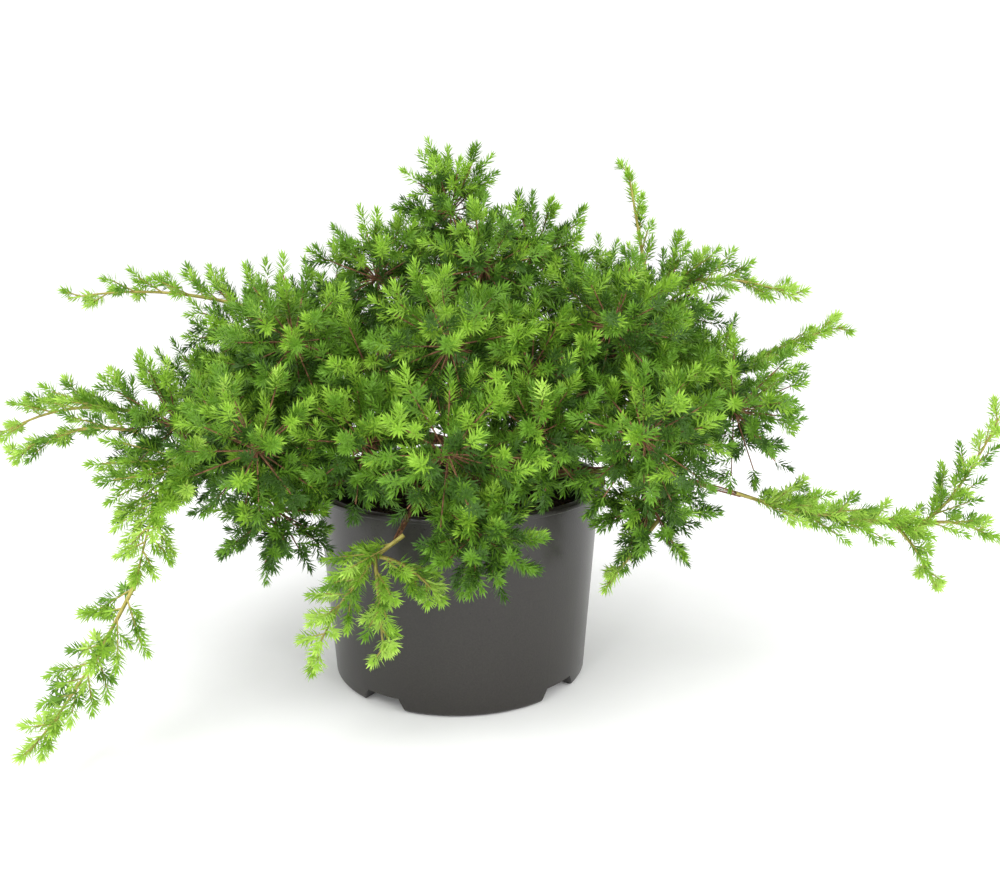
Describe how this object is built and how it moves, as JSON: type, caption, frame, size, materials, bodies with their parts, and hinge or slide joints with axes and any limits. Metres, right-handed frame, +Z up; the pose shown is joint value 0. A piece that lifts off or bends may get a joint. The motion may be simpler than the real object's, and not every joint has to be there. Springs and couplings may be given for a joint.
{
  "type": "potted dwarf juniper",
  "caption": "Low spreading dwarf garden juniper with dense cushions of needles and long side plumes, in a round dark nursery pot.",
  "frame": {"origin": "centre of the pot's flat underside", "axes": "+Z up along the pot's axis, -Y towards the front of the plant, +X towards its long right-hand plume"},
  "size_m": [0.6357, 0.4017, 0.3357],
  "materials": {
    "pot_plastic": "satin",
    "potting_soil": "matte",
    "bark": "matte",
    "foliage": "matte",
    "fresh_foliage": "matte"
  },
  "bodies": {
    "root": {"bough_drooping_plume": "bark", "bough_front_clump": "bark", "bough_long_plume": "bark", "bough_low_1": "bark", "bough_low_2": "bark", "bough_low_3": "bark", "bough_low_4": "bark", "bough_low_5": "bark", "bough_skirt_1": "bark", "bough_skirt_10": "bark", "bough_skirt_2": "bark", "bough_skirt_3": "bark", "bough_skirt_4": "bark", "bough_skirt_5": "bark", "bough_skirt_6": "bark", "bough_skirt_7": "bark", "bough_skirt_8": "bark", "bough_skirt_9": "bark", "mass_crown_1": "foliage", "mass_crown_2": "foliage", "mass_crown_3": "foliage", "mass_crown_4": "foliage", "mass_drooping_plume": "fresh_foliage", "mass_front_clump": "fresh_foliage", "mass_long_plume": "fresh_foliage", "mass_low_1": "foliage", "mass_low_2": "foliage", "mass_low_3": "foliage", "mass_low_4": "foliage", "mass_low_5": "foliage", "mass_shoulder_1": "foliage", "mass_shoulder_2": "foliage", "mass_shoulder_3": "foliage", "mass_shoulder_4": "foliage", "mass_shoulder_5": "foliage", "mass_shoulder_6": "foliage", "mass_shoulder_7": "foliage", "mass_shoulder_8": "foliage", "mass_skirt_1": "foliage", "mass_skirt_10": "foliage", "mass_skirt_2": "foliage", "mass_skirt_3": "foliage", "mass_skirt_4": "foliage", "mass_skirt_5": "foliage", "mass_skirt_6": "foliage", "mass_skirt_7": "foliage", "mass_skirt_8": "foliage", "mass_skirt_9": "foliage", "mass_spire": "foliage", "pot": "pot_plastic", "soil": "potting_soil", "trunk": "bark"}
  },
  "joints": []
}
